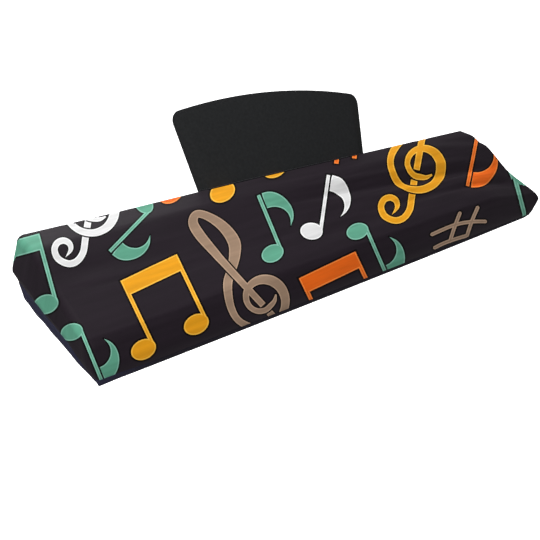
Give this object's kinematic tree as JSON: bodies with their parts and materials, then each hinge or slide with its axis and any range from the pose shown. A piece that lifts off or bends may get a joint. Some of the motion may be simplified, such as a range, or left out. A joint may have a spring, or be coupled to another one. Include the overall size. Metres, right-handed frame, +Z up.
{
  "type": "piano keyboard cover",
  "caption": "Hollow fitted stretch-cloth cover for a keyboard instrument, with printed top and skirts, a drawn-in hem band and a standing pocket for the music rest.",
  "frame": {"origin": "on the underside of the level strip at the back of the top, midway along the length, where the instrument holds the cover up", "axes": "+X along the length to the player's right, +Y from the player to the back, +Z up"},
  "size_m": [1.3775, 0.3722, 0.3416],
  "materials": {
    "printed_stretch_cloth": "smooth knitted polyester with a many-coloured print of music signs on an aubergine-black ground",
    "navy_hem_cloth": "plain dark navy stretch cloth over elastic",
    "black_pocket_cloth": "plain black brushed stretch cloth"
  },
  "bodies": {
    "root": {"cover_panel": "printed_stretch_cloth", "hem_band": "navy_hem_cloth", "music_rest_pocket": "black_pocket_cloth"}
  },
  "joints": []
}
